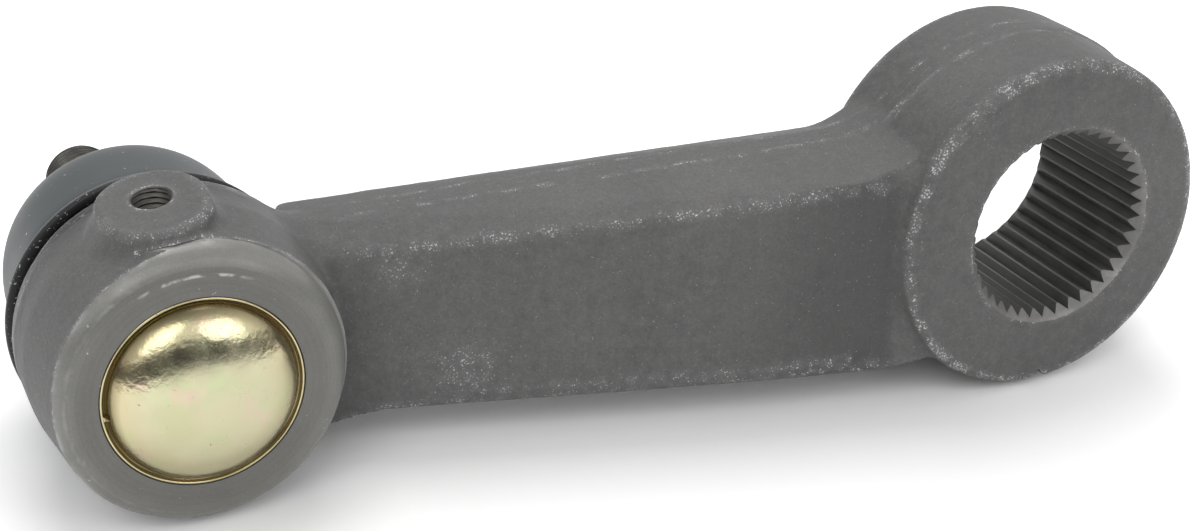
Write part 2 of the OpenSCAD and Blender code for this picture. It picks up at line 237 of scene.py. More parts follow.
def cut(obj, cutter, *finishes):
    """Machines the cutter's shape out of the object and gives the cut faces their finishes."""
    for finish in finishes:
        cutter.data.materials.append(finish)
    boolean = obj.modifiers.new("cut", "BOOLEAN")
    boolean.operation = "DIFFERENCE"
    boolean.solver = "MANIFOLD"
    boolean.material_mode = "TRANSFER"
    boolean.object = cutter
    applied(obj)
    bpy.data.objects.remove(cutter)


def shade(obj, angle):
    obj.data.shade_smooth()
    obj.data.set_sharp_from_angle(angle=math.radians(angle))


# Material helpers

class Finish:
    """A principled material whose nodes are added one call at a time."""

    def __init__(self, name, **sockets):
        self.material = bpy.data.materials.new(name)
        self.material.use_nodes = True
        self.tree = self.material.node_tree
        self.shader = self.tree.nodes["Principled BSDF"]
        self.set(**sockets)
        self.place = self.add("ShaderNodeTexCoord").outputs["Object"]

    def set(self, **sockets):
        for label, value in sockets.items():
            self.feed(self.shader.inputs[label.replace("_", " ")], value)

    def feed(self, socket, value):
        if isinstance(value, bpy.types.NodeSocket):
            self.tree.links.new(value, socket)
        else:
            socket.default_value = value

    def add(self, kind, inputs=None, **settings):
        node = self.tree.nodes.new(kind)
        for key, value in settings.items():
            setattr(node, key, value)
        for key, value in (inputs or {}).items():
            self.feed(node.inputs[key], value)
        return node

    def noise(self, size, detail=3.0, rough=0.55, place=None):
        """Noise whose features are about size millimetres across."""
        inputs = {"Vector": place or self.place, "Scale": 1 / (size * MM)}
        inputs.update({"Detail": detail, "Roughness": rough})
        return self.add("ShaderNodeTexNoise", inputs).outputs["Fac"]

    def ramp(self, value, low, high, to_low=0.0, to_high=1.0):
        """Maps value from low..high onto to_low..to_high, clamped."""
        inputs = {"Value": value, "From Min": low, "From Max": high, "To Min": to_low, "To Max": to_high}
        return self.add("ShaderNodeMapRange", inputs).outputs["Result"]

    def math(self, operation, a, b):
        return self.add("ShaderNodeMath", {0: a, 1: b}, operation=operation).outputs["Value"]

    def vector(self, operation, a, b=(0, 0, 0)):
        return self.add("ShaderNodeVectorMath", {0: a, 1: b}, operation=operation)

    def mix(self, share, a, b):
        node = self.add("ShaderNodeMix", data_type="RGBA")
        self.feed(node.inputs[0], share)
        self.feed(node.inputs[6], a)
        self.feed(node.inputs[7], b)
        return node.outputs[2]

    def attribute(self, name):
        return self.add("ShaderNodeAttribute", attribute_name=name).outputs["Fac"]

    def radius(self, centre):
        """Distance from an axis along Y through centre, in millimetres."""
        flat = self.vector("MULTIPLY", self.place, (1 / MM, 0, 1 / MM)).outputs[0]
        off = self.vector("SUBTRACT", flat, (centre.x, 0, centre.z)).outputs[0]
        return self.vector("LENGTH", off).outputs["Value"]

    def bump(self, height, depth, before=None):
        """Bump of the given depth in millimetres, laid over an earlier one."""
        inputs = {"Height": height, "Distance": depth * MM, "Strength": 1.0}
        if before:
            inputs["Normal"] = before
        return self.add("ShaderNodeBump", inputs).outputs["Normal"]


def grey(value, warm=0.0):
    """Grey that leans to brown, or to blue where warm is below 0."""
    return (value * (1 + warm), value, value * (1 - warm), 1)


def forged_finish():
    """Phosphated forging: dark grey and grainy, with bright crust on rubbed edges, painted shade by the eye's rim,
    and painted shade with painted glints in the gap by the boot.
    """
    f = Finish("forged_scale", Specular_IOR_Level=0.35)
    cloud = f.ramp(f.noise(20, 4, 0.6), 0.36, 0.64)
    smudge = f.ramp(f.noise(5, 4, 0.65), 0.52, 0.72, 0.0, 0.6)
    mottle = f.ramp(f.noise(1.8, 4, 0.65), 0.3, 0.7)
    grain = f.ramp(f.noise(0.42, 3, 0.6), 0.35, 0.7)
    upright = f.vector("MULTIPLY", f.place, (1, 1, 0.1)).outputs[0]
    streak = f.ramp(f.noise(1.5, 3, 0.6, upright), 0.35, 0.65, 0.0, 0.3)
    tone = f.mix(cloud, grey(0.094), grey(0.141, 0.015))
    tone = f.mix(streak, tone, grey(0.076))
    tone = f.mix(smudge, tone, grey(0.074, -0.02))
    tone = f.mix(f.ramp(mottle, 0, 1, 0.0, 0.75), tone, grey(0.162, 0.02))
    tone = f.mix(f.ramp(grain, 0, 1, 0.0, 0.45), tone, grey(0.062))
    # Painted shade: darker in the hollow left of the eye's rim and on the housing before the boot's gap
    tone = f.mix(f.math("MULTIPLY", f.attribute("hollow"), 0.6), tone, grey(0.058))
    wear = f.math("MULTIPLY", f.attribute("wear"), f.ramp(f.noise(16, 2), 0.38, 0.58, 0.6, 1.0))
    rubbed = f.math("MULTIPLY", wear, f.ramp(f.noise(2.2, 3), 0.36, 0.56, 0.2, 1.0))
    wander = f.math("ADD", f.ramp(f.noise(9, 2), 0, 1, -0.9, 0.9), f.ramp(f.noise(2, 2), 0, 1, -0.5, 0.5))
    seam = f.math("ADD", f.attribute("seam"), wander)
    line = f.ramp(f.math("ABSOLUTE", seam, 0.0), 0.2, 0.85, 1.0, 0.0)
    line = f.math("MULTIPLY", line, f.ramp(f.noise(3, 4, 0.7), 0.42, 0.62))
    rubbed = f.math("MAXIMUM", rubbed, f.math("MULTIPLY", line, 0.75))
    tone = f.mix(f.math("MULTIPLY", rubbed, 0.47), tone, grey(0.24))
    flecks = f.math("ADD", f.noise(0.3, 3.0, 0.7), f.math("MULTIPLY", rubbed, 0.17))
    on_edges = f.ramp(flecks, 0.675, 0.745, 0.0, 0.9)
    strays = f.ramp(f.noise(0.45, 1.5, 0.6), 0.81, 0.83, 0.0, 0.6)
    speck = f.math("MAXIMUM", on_edges, strays)
    tone = f.mix(speck, tone, grey(0.72, 0.01))
    # Painted shade: near black with painted glints in the gap between the housing and the boot, and glossier there
    grease = f.math("ADD", f.attribute("grease"), f.ramp(f.noise(1.5, 3), 0, 1, -0.25, 0.25))
    grease = f.ramp(grease, 0.45, 0.6)
    glint = f.ramp(f.noise(0.5, 2, 0.7), 0.66, 0.70)
    tone = f.mix(grease, tone, f.mix(glint, (0.009, 0.009, 0.009, 1), grey(0.4)))
    pits = f.bump(f.noise(0.28, 3, 0.6), 0.03)
    skin = f.bump(f.noise(1.4, 4, 0.65), 0.12, pits)
    crust = f.bump(f.math("MULTIPLY", rubbed, f.noise(0.8, 3, 0.6)), 0.22, skin)
    rough = f.ramp(mottle, 0, 1, 0.5, 0.66)
    rough = f.math("SUBTRACT", rough, f.math("MULTIPLY", grease, 0.25))
    f.set(Base_Color=tone, Roughness=rough, Normal=crust)
    return f.material


def turned_finish(name, axis_at, dark, light, edge_r, rub):
    """Lathe-turned steel under the same grey coating, with uneven rings and rubbed edges round an axis, partly
    painted light from edge_r outwards, and a painted highlight line along the top.
    """
    f = Finish(name, Metallic=0.25, Specular_IOR_Level=0.5)
    radius = f.radius(axis_at)
    along_radius = {"W": radius, "Scale": 1.1, "Detail": 4.0}
    rings = f.add("ShaderNodeTexNoise", along_radius, noise_dimensions="1D").outputs["Fac"]
    cloud = f.ramp(f.noise(6, 4), 0.3, 0.7)
    # Darker inside edge_r and lighter outside it: on the ring partly the metal's own tone and partly painted
    # light, the rounding lit and the flat by the cap shaded
    tone = f.mix(f.ramp(radius, edge_r - 0.6, edge_r + 2.2), dark, light)
    tone = f.mix(f.ramp(cloud, 0, 1, 0.0, 0.3), tone, (0.13, 0.13, 0.12, 1))
    tone = f.mix(f.ramp(rings, 0.4, 0.65, 0.0, 0.28), tone, (0.12, 0.12, 0.113, 1))
    tone = f.mix(f.ramp(f.noise(0.3, 2), 0.35, 0.7, 0.0, 0.2), tone, grey(0.08, 0.03))
    # Painted highlight: a bright line just outside edge_r, only along the top of the ring
    off_line = f.math("ABSOLUTE", f.math("SUBTRACT", radius, edge_r + 0.3), 0.0)
    height = f.add("ShaderNodeSeparateXYZ", {0: f.place}).outputs["Z"]
    highlight_from, highlight_full = axis_at.z + 15.5, axis_at.z + 17
    over = f.ramp(height, highlight_from * MM, highlight_full * MM)
    highlight_line = f.math("MULTIPLY", f.ramp(off_line, 0.1, 0.3, 1.0, 0.0), f.ramp(f.noise(2.5, 3), 0.44, 0.56))
    highlight_line = f.math("MULTIPLY", highlight_line, over)
    rubbed = f.math("MULTIPLY", f.attribute("wear"), f.ramp(f.noise(2.4, 3), 0.40, 0.62, 0.1, 1.0))
    tone = f.mix(f.math("MAXIMUM", f.math("MULTIPLY", rubbed, rub), highlight_line), tone, grey(0.5, 0.02))
    nick = f.ramp(f.noise(0.6, 2), 0.74, 0.77)
    tone = f.mix(nick, tone, grey(0.5, 0.02))
    grain = f.bump(f.noise(0.4, 2), 0.01)
    f.set(Base_Color=tone, Roughness=f.ramp(cloud, 0, 1, 0.34, 0.48), Normal=f.bump(rings, 0.03, grain))
    return f.material


def bore_finish(name, dark, light):
    """Broached steel, blackened and a little oily; also its lighter copy on the tooth tips, a painted highlight,
    and the nick's near-black inside, painted shade.
    """
    f = Finish(name, Metallic=0.0, Specular_IOR_Level=0.45)
    cloud = f.ramp(f.noise(4, 3), 0.3, 0.7)
    f.set(Base_Color=f.mix(cloud, dark, light), Roughness=f.ramp(cloud, 0, 1, 0.42, 0.56))
    f.set(Normal=f.bump(f.noise(0.5, 2), 0.01))
    return f.material


def cap_finish():
    """Yellow zinc plating: pale gold with green and rose tints, a painted dark reflection on the wall, and a
    hammered shoulder.
    """
    f = Finish("yellow_zinc", Metallic=1.0)
    tone = f.mix(f.ramp(f.noise(7, 2.5), 0.3, 0.55), (0.54, 0.525, 0.33, 1), (0.585, 0.55, 0.372, 1))
    tone = f.mix(f.ramp(f.noise(4.5, 2), 0.52, 0.7, 0.0, 0.6), tone, (0.51, 0.575, 0.335, 1))
    tone = f.mix(f.ramp(f.noise(5.5, 2), 0.56, 0.72, 0.0, 0.6), tone, (0.68, 0.51, 0.42, 1))
    radius = f.radius(BALL)
    tone = f.mix(f.ramp(radius, 8.5, 12.5, 0.0, 0.4), tone, (0.52, 0.40, 0.20, 1))
    # Painted reflection: the wall darkened to brown, standing in for the dark room that it mirrors
    wall = f.math("MULTIPLY", f.ramp(radius, 11.9, 13.3), f.ramp(radius, 13.95, 13.85))
    tone = f.mix(f.math("MULTIPLY", wall, 0.8), tone, (0.15, 0.115, 0.055, 1))
    shoulder = f.math("MULTIPLY", f.ramp(radius, 5.5, 9.0), f.ramp(radius, 13.4, 12.4))
    hammered = f.math("MULTIPLY", shoulder, f.noise(1.1, 2.5, 0.55))
    skin = f.bump(hammered, 0.055, f.bump(f.noise(0.35, 2), 0.006))
    spots = f.ramp(f.noise(0.6, 1.5), 0.74, 0.78)
    f.set(Base_Color=f.mix(spots, tone, (0.3, 0.27, 0.17, 1)), Normal=skin)
    f.set(Roughness=f.ramp(f.noise(3, 3), 0.3, 0.7, 0.20, 0.28))
    return f.material


def rubber_finish():
    """Moulded rubber: blue-grey bloom over black, with dust, a painted highlight along the crease, and painted
    shade with painted glints on the lip.
    """
    f = Finish("moulded_rubber", Metallic=0.0, Specular_IOR_Level=0.45)
    bloom = f.ramp(f.noise(14, 3), 0.3, 0.7)
    tone = f.mix(bloom, (0.040, 0.048, 0.050, 1), (0.064, 0.074, 0.077, 1))
    tone = f.mix(f.ramp(f.noise(1.2, 4, 0.7), 0.62, 0.8, 0.0, 0.4), tone, (0.12, 0.13, 0.125, 1))
    # Painted highlight: a pale line along the crease
    crease = f.math("MULTIPLY", f.attribute("crease"), f.ramp(f.noise(5, 3), 0.3, 0.6, 0.35, 0.8))
    tone = f.mix(crease, tone, (0.26, 0.27, 0.25, 1))
    dust = f.ramp(f.noise(0.8, 1.5), 0.735, 0.76)
    tone = f.mix(dust, tone, (0.45, 0.46, 0.44, 1))
    # Painted shade: the brim's lip near black with painted glints, where it faces the gap by the housing
    grease = f.ramp(f.attribute("grease"), 0.3, 0.7)
    glint = f.ramp(f.noise(0.5, 2, 0.7), 0.64, 0.68)
    tone = f.mix(grease, tone, f.mix(glint, (0.006, 0.006, 0.006, 1), grey(0.4)))
    skin = f.bump(f.noise(0.5, 3), 0.02)
    f.set(Base_Color=tone, Roughness=f.ramp(bloom, 0, 1, 0.42, 0.55), Normal=skin)
    return f.material


def steel_finish(name, dark, light, rough, metallic):
    """Plain steel with stains, and painted shade in the stud's thread roots: studs, springs, seats and rings."""
    f = Finish(name, Metallic=metallic, Specular_IOR_Level=0.5)
    cloud = f.ramp(f.noise(3.5, 4), 0.3, 0.7)
    # Painted shade: near black in the thread's roots where the groove is stored
    tone = f.mix(f.attribute("groove"), f.mix(cloud, dark, light), (0.012, 0.011, 0.01, 1))
    f.set(Base_Color=tone, Roughness=f.ramp(cloud, 0, 1, rough, rough + 0.15))
    f.set(Normal=f.bump(f.noise(0.6, 3), 0.012))
    return f.material


forged = forged_finish()
# The ring's flat and rounding tones, partly painted light: the flat by the cap shaded and the rounding lit
ring_tones = ((0.168, 0.166, 0.152, 1), (0.258, 0.256, 0.240, 1))
ring_turned = turned_finish("turned_ring", BALL, *ring_tones, RING_R - RING_ROUND, 0.55)
chamfer_turned = turned_finish("turned_chamfer", Vector(), grey(0.17, 0.02), grey(0.21, 0.02), TIP_R, 0.3)
broached = bore_finish("broached_steel", (0.05, 0.052, 0.049, 1), (0.085, 0.086, 0.08, 1))
# Painted highlight: the tooth tips a lighter copy of the broached steel
broached_tips = bore_finish("broached_tips", (0.09, 0.09, 0.086, 1), (0.14, 0.14, 0.132, 1))
# Painted shade: the nick's inside near black
notch_scale = bore_finish("notch_scale", (0.008, 0.008, 0.008, 1), (0.02, 0.02, 0.02, 1))
stud_steel = steel_finish("oiled_steel", (0.05, 0.048, 0.043, 1), (0.12, 0.115, 0.104, 1), 0.32, 0.5)


# Forging: a rough blank with stock on it, softened as a forging is, and then machined

VOXEL = 0.55
SOFTENING = 3
CORNER_SOFTENING = 25
STOCK = 1.0
SKIN_EDGE = (0.008, 0.018)
SKIN_EDGE_BLUR = 4
WAVE_SIZE = 11
WAVE_HEIGHT = 0.07
DIMPLE_SIZE = 3.2
DIMPLE_HEIGHT = 0.035

# Zones of the forging: the span in which each begins and, where it ends again, the span in which it ends
EYE_CORNER_X = ((-41, -35), (-29.5, -26.5))
EYE_CORNER_Y = (-9, -3)
REAR_CORNER_X = ((-118, -113), (-106, -98))
REAR_CORNER_Y = (18, 23)
REAR_CORNER_Z = (2, 7)
VALLEY_X = ((-50, -35), (-30.0, -25.8))
VALLEY_DEPTH = 1.2
# Painted shade in the hollow left of the eye's rim: where it lies along the arm, and how high it reaches
CORNER_SHADE_X = ((-58, -31), (-29.5, -27))
CORNER_SHADE_TOP = 18
BOSS_SECTOR = ((45, 66), (123, 140))
BAR_CRUST_X = (-108, -34)

# Lower front edge of the bar: two places along the arm, and the edge's height at each
LOW_EDGE_X = (-112, -31)
LOW_EDGE_Z = (-21.5, -20.7)

# Bright crust on the bar's front: middle x and z, half width and height, and strength of each patch
CRUST_PATCHES = ((-92, -15, 6, 5, 1.0), (-101, 3, 4, 3, 0.8))
LOW_CRUST_RISE = 2.6
LOW_CRUST_HALF = 1.1
LOW_CRUST_START = (-97, -91)
CRUST_SHARE = 0.75

# Rubbed edges: width of the line along machined cuts, and the share left at the boss and where it is whole
CUT_WEAR_WIDTH = 0.45
BOSS_WEAR = 0.6
BOSS_WEAR_SPAN = (10, 14)

# Painted shade in the gap by the boot: where it and the darkening before it begin, from the rear end of the
# housing's band
GAP_SHADE_SPAN = (-3.0, -1.8)
GAP_DARKENING_SPAN = (-7.5, -2)
GAP_SHADE_MARGIN = 1.2
GAP_SHADE_OFF_BAR = (0.5, 0.75)

# Parting lines along the bar's top: the rear one's distance from the rear face, and the band between them
PARTING_FROM_REAR = 6.0
PARTING_BAND = 4.8
PARTING_ONTO_EYE = 3.4
PARTING_RUN = 20
PARTING_LIMIT = 4.0


def rod(radius, start, end, place):
    return spun("stock", [(0, start), (radius, start), (radius, end), (0, end)], place, 96)


def along(axis, point):
    """Matrix that stands local Y on an axis through a point."""
    return Matrix.Translation(point) @ Vector((0, 1, 0)).rotation_difference(axis).to_matrix().to_4x4()


def smoothstep(value, low, high):
    t = np.clip((value - low) / (high - low), 0, 1)
    return t * t * (3 - 2 * t)


def window(value, rise, fall):
    """Grows from 0 to 1 over the first span and back to 0 over the second."""
    return smoothstep(value, *rise) * (1 - smoothstep(value, *fall))


def prism_faces(count):
    """Both ends of a prism and the sides between its two outlines of count points."""
    ends = [list(range(count)), list(range(count, 2 * count))]
    return ends + [[i, (i + 1) % count, count + (i + 1) % count, count + i] for i in range(count)]


def tree_of(points):
    tree = kdtree.KDTree(len(points))
    for i, p in enumerate(points):
        tree.insert(p, i)
    tree.balance()
    return tree


def rough_blank():
    """The forging's solid with its holes filled and stock left where it will be machined."""
    blank = link("blank", frame["nodes"]["arm_forging"].data.copy())
    chamfer_r = TIP_R + SERRATION_DEPTH + LEAD_IN
    forged_axis = Matrix.Translation(BALL + HOUSING_SHIFT)
    raw = [(0, -RING_FACE - STOCK), (HOUSING_FRONT_R, -RING_FACE - STOCK), (HOUSING_FRONT_R, -RING_FACE)]
    raw += [(HOUSING_R, HOUSING_BAND[0]), (0, HOUSING_BAND[0])]
    stock = [rod(chamfer_r + STOCK, -EYE_HALF, EYE_HALF, Matrix()),
             spun("stock", raw, forged_axis, 160),
             rod(CAP_R + STOCK, -RING_FACE, REAR_REACH, at_ball()),
             rod(GREASE_R + STOCK, -GREASE_DEPTH - STOCK, 0, along(GREASE_AXIS, BOSS_TOP))]
    solid = joined("arm_forging_skin", [blank, low_web()] + stock)
    remesh = solid.modifiers.new("remesh", "REMESH")
    remesh.mode = "VOXEL"
    remesh.voxel_size = VOXEL * MM
    applied(solid)
    soften(solid)
    return solid


def low_web():
    """Hollow-curved web from the bar's lower edge down to the housing."""
    start, end = -104.5, -121.0
    drop, hollow = 3.6, 0.9
    inside_z = -15
    front_gap, rear_gap = 0.4, 3
    steps = 24
    curve = []
    for i in range(steps + 1):
        x = start + (end - start) * i / steps
        curve.append((x, low_edge(x) - drop * smoothstep(x, start, end) ** hollow))
    outline = curve + [(end, inside_z), (start, inside_z)]
    slope = (BAR_FRONT[1] - BAR_FRONT[0]) / (BAR_X[1] - BAR_X[0])
    points = []
    for depth in (front_gap, BAR_T[0] - rear_gap):
        points += [(x, BAR_FRONT[0] + slope * (x - BAR_X[0]) + depth, z) for x, z in outline]
    return mesh_of("low_web", points, prism_faces(len(outline)))


def soften(solid):
    """Rounds all edges a little, and a lot by the eye's rim and where the bar's rear meets the housing."""
    x, y, z = (vectors(solid.data.vertices, "co") / MM).T
    corner = window(x, *EYE_CORNER_X) * (1 - smoothstep(y, *EYE_CORNER_Y))
    rear_top = window(x, *REAR_CORNER_X) * smoothstep(y, *REAR_CORNER_Y)
    corner = np.maximum(corner, rear_top * smoothstep(z, *REAR_CORNER_Z))
    group = solid.vertex_groups.new(name="corner")
    for i in np.flatnonzero(corner > 0.02):
        group.add([int(i)], float(corner[i]), "REPLACE")
    smooth = solid.modifiers.new("soften", "SMOOTH")
    smooth.iterations = SOFTENING
    smooth = solid.modifiers.new("soften_corner", "SMOOTH")
    smooth.iterations = CORNER_SOFTENING
    smooth.vertex_group = "corner"
    applied(solid)
    solid.vertex_groups.clear()


def vectors(items, key):
    values = np.empty(len(items) * 3, np.float32)
    items.foreach_get(key, values)
    return values.reshape(-1, 3).astype(float)


def roughen(solid):
    """Gives the forged skin its unevenness and the valley by the eye, and tells where edges stand out."""
    mesh = solid.data
    points = vectors(mesh.vertices, "co")
    normals = vectors(mesh.vertices, "normal")
    edges = np.empty(len(mesh.edges) * 2, np.int32)
    mesh.edges.foreach_get("vertices", edges)
    edges = edges.reshape(-1, 2)
    count = np.bincount(edges.ravel(), minlength=len(points))[:, None]

    def around(values):
        total = np.zeros_like(values)
        np.add.at(total, edges[:, 0], values[edges[:, 1]])
        np.add.at(total, edges[:, 1], values[edges[:, 0]])
        return total / count

    bend = ((points - around(points)) * normals).sum(1)[:, None]
    for _ in range(SKIN_EDGE_BLUR):
        bend = 0.5 * (bend + around(bend))
    convex = np.clip((bend[:, 0] / MM - SKIN_EDGE[0]) / SKIN_EDGE[1], 0, 1)
    wave = np.array([noise.noise(Vector(p) / (WAVE_SIZE * MM)) for p in points])
    dimple = np.array([noise.noise(Vector(p) / (DIMPLE_SIZE * MM)) for p in points])
    moved = points + normals * ((WAVE_HEIGHT * wave + DIMPLE_HEIGHT * dimple) * MM)[:, None]
    facing_front = smoothstep(-normals[:, 1], 0.05, 0.9)
    valley = window(points[:, 0] / MM, *VALLEY_X) * facing_front
    moved[:, 1] += VALLEY_DEPTH * MM * valley
    mesh.vertices.foreach_set("co", moved.astype(np.float32).ravel())
    mesh.update()
    return moved, convex


def ring_cutter():
    """All that the lathe takes off in front of and round the machined ring, drawn in to pass the boss."""
    back = RING_ROUND - RING_FACE
    first = RING_R + TURNED_STEP
    second = first + TURNED_STEP
    outside = HOUSING_R + 4
    clear = RING_FACE + 4 * STOCK
    segments = 160
    turn = np.arange(segments) * 360 / segments
    boss = window(turn, *BOSS_SECTOR)
    flush = RING_R + 0.05 + HOUSING_SHIFT.x * np.maximum(np.cos(np.radians(turn)), 0)
    steps = [r + (flush + 0.02 * i - r) * boss for i, r in enumerate((first, second, outside))]
    rows = [(0, -clear), (0, -RING_FACE)] + arc(RING_R - RING_ROUND, back, RING_ROUND, -90, 0, 14)
    rows += [(steps[0], back), (steps[0], back + TURNED_STEP), (steps[1], back + TURNED_STEP)]
    rows += [(steps[1], back + 2 * TURNED_STEP), (steps[2], back + 2 * TURNED_STEP), (steps[2], -clear)]
    return spun("ring_cutter", rows + [(0, -clear)], at_ball(), segments)


def socket_cutter():
    """Counterbore, socket and stud opening."""
    seat_r = CAP_R + 0.1
    front = -RING_FACE - 1
    mouth_r = THROAT_R + THROAT_FLARE
    behind = REAR_REACH + 1
    rows = [(0, front), (seat_r, front), (seat_r, -CAP_BACK), (SOCKET_R, -CAP_BACK)]
    rows += [(SOCKET_R, LIP_REACH), (THROAT_R, LIP_REACH)]
    rows += [(mouth_r, REAR_REACH), (mouth_r, behind), (0, behind)]
    return spun("socket_cutter", rows, at_ball(), 160)


def serration_cutter():
    """Toothed outline of the bore, run through the eye."""
    outline = []
    for i in range(SERRATIONS):
        middle = 2 * math.pi * (i + 0.5) / SERRATIONS
        half = SERRATION_MOUTH / 2 / TIP_R
        pitch = 2 * math.pi / SERRATIONS
        corners = ((TIP_R, middle - pitch / 2), (TIP_R, middle - half))
        corners += ((TIP_R + SERRATION_DEPTH, middle), (TIP_R, middle + half))
        outline += [(r * math.cos(a), r * math.sin(a)) for r, a in corners]
    ends = (-EYE_HALF - 1, EYE_HALF + 1)
    points = [(x, y, z) for y in ends for x, z in outline]
    cutter = mesh_of("serration_cutter", points, prism_faces(len(outline)))
    # The tooth tips get the lighter copy, a painted highlight
    on_tip = (0, 3)
    for i, face in enumerate(list(cutter.data.polygons)[2:]):
        face.material_index = int(i % 4 in on_tip)
    return cutter


def chamfer_cutter(side):
    """Cone that opens the bore's mouth on one face of the eye."""
    reach = TIP_R + SERRATION_DEPTH + LEAD_IN
    depth = reach - TIP_R
    over, under = 1, 0.5
    rows = [(0, over), (reach + over, over), (TIP_R - under, -depth - under), (0, -depth - under)]
    place = Matrix.Translation((0, side * EYE_HALF, 0)) @ Matrix.Scale(side, 4, (0, 1, 0))
    return spun("chamfer_cutter", rows, place, 160)


def tap_cutter():
    """The grease hole with its thread and a countersunk mouth."""
    crest = GREASE_R + GREASE_THREAD_DEPTH
    mouth_r = GREASE_R + 0.45
    start, end = -GREASE_DEPTH + 0.2, -0.15
    segments = 48
    rows = [(0, -GREASE_DEPTH - 1), (GREASE_R, -GREASE_DEPTH)]
    rows += thread_rows(GREASE_R, crest, GREASE_PITCH, start, end, segments, (0.3, 0.2))
    rows += [(mouth_r, 0.12), (mouth_r, 1), (0, 1)]
    return spun("tap_cutter", rows, along(GREASE_AXIS, BOSS_TOP), segments)


def notch_cutter():
    """Nick in the lower front rim of the eye."""
    angle = math.radians(NOTCH_ANGLE)
    at = Vector((NOTCH_REACH * math.cos(angle) - EYE_SHIFT, -EYE_HALF, NOTCH_REACH * math.sin(angle)))
    corners = [(NOTCH_HALF, 0), (0, NOTCH_HALF), (-NOTCH_HALF, 0), (0, -NOTCH_HALF)]
    front, back = -3, 4.5
    points = [at + Vector((x, y, z)) for y in (front, back) for x, z in corners]
    return mesh_of("notch_cutter", points, prism_faces(len(corners)))


def parting_distance(points):
    """Distance in millimetres to the nearer of the two parting lines along the top of the bar and the eye."""
    x, y = points[:, 0], points[:, 1]
    share = np.clip((x - BAR_X[0]) / (BAR_X[1] - BAR_X[0]), 0, 1)
    depth = y - (BAR_FRONT[0] + (BAR_FRONT[1] - BAR_FRONT[0]) * share)
    onto_eye = PARTING_ONTO_EYE * smoothstep(x, BAR_X[1], BAR_X[1] + PARTING_RUN)
    rear_line = BAR_T[0] + (BAR_T[1] - BAR_T[0]) * share - PARTING_FROM_REAR - onto_eye
    from_rear = depth - rear_line
    from_front = depth - (rear_line - PARTING_BAND)
    return np.where(np.abs(from_front) < np.abs(from_rear), from_front, from_rear)


def worn_edges(mesh, skin_points, convex):
    """Stores how far each vertex is on a rubbed edge, in painted shade by the eye's rim and before the boot's gap,
    in the gap's painted shade, and off a parting line.
    """
    skin = tree_of(skin_points)
    finishes = {}
    for polygon in mesh.polygons:
        for v in polygon.vertices:
            finishes.setdefault(v, set()).add(polygon.material_index)
    cuts = tree_of([mesh.vertices[v].co for v, kinds in finishes.items() if len(kinds) > 1 and 0 in kinds])
    points = vectors(mesh.vertices, "co")
    normals = vectors(mesh.vertices, "normal")
    forged_edge = np.array([convex[skin.find(p)[1]] for p in points])
    from_cut = np.array([cuts.find(p)[2] for p in points]) / MM
    points /= MM
    x, z = points[:, 0], points[:, 2]

    front = normals[:, 1] < -0.7
    over_edge = z - low_edge(x) - LOW_CRUST_RISE
    low = np.exp(-(over_edge / LOW_CRUST_HALF) ** 2) * smoothstep(x, *LOW_CRUST_START)
    patch = np.zeros(len(x))
    for at_x, at_z, half_x, half_z, strength in CRUST_PATCHES:
        patch += strength * np.exp(-((x - at_x) / half_x) ** 2 - ((z - at_z) / half_z) ** 2)
    on_bar = front & (x > BAR_CRUST_X[0]) & (x < BAR_CRUST_X[1])
    from_boss = np.linalg.norm(points - np.array(BOSS_TOP), axis=1)
    forged_edge = forged_edge * (BOSS_WEAR + (1 - BOSS_WEAR) * smoothstep(from_boss, *BOSS_WEAR_SPAN))
    wear = np.maximum(forged_edge, np.exp(-(from_cut / CUT_WEAR_WIDTH) ** 2))
    store(mesh, "wear", np.maximum(wear, CRUST_SHARE * on_bar * np.maximum(low, patch)))

    # Painted shade in the hollow left of the eye's rim, on faces that look forward
    hollow = window(x, *CORNER_SHADE_X) * smoothstep(-normals[:, 1], 0.4, 0.9) * (z < CORNER_SHADE_TOP)
    out = points - np.array(BALL)
    reach = np.hypot(out[:, 0], out[:, 2])
    # Painted shade in the gap between the housing and the boot's brim, kept off the bar
    off_bar = (reach < BRIM_R + GAP_SHADE_MARGIN) * (1 - smoothstep(out[:, 0] / reach, *GAP_SHADE_OFF_BAR))
    past_band = out[:, 1] - HOUSING_BAND[1]
    store(mesh, "grease", smoothstep(past_band, *GAP_SHADE_SPAN) * off_bar)
    store(mesh, "hollow", np.maximum(hollow, smoothstep(past_band, *GAP_DARKENING_SPAN) * off_bar))

    on_top = (normals[:, 2] > 0.45) & (x > BAR_CRUST_X[0])
    seam = np.clip(parting_distance(points), -PARTING_LIMIT, PARTING_LIMIT)
    store(mesh, "seam", np.where(on_top, seam, PARTING_LIMIT))


def low_edge(x):
    """Height of the bar's lower front edge along the arm."""
    return np.interp(x, LOW_EDGE_X, LOW_EDGE_Z)


def store(mesh, name, values):
    attribute = mesh.attributes.new(name, "FLOAT", "POINT")
    attribute.data.foreach_set("value", values.astype(np.float32))


def forging():
    solid = rough_blank()
    skin_points, convex = roughen(solid)
    solid.data.materials.clear()
    solid.data.materials.append(forged)
    cut(solid, notch_cutter(), notch_scale)
    cut(solid, ring_cutter(), ring_turned)
    cut(solid, socket_cutter(), ring_turned)
    cut(solid, serration_cutter(), broached, broached_tips)
    for side in (-1, 1):
        cut(solid, chamfer_cutter(side), chamfer_turned)
    cut(solid, tap_cutter(), stud_steel)
    worn_edges(solid.data, skin_points, convex)
    shade(solid, 38)
    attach(solid, "arm")
    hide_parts("arm_forging")


forging()


# End cap: pressed cup with a thin sheared rim, a narrow groove, a rounded crown and a burr

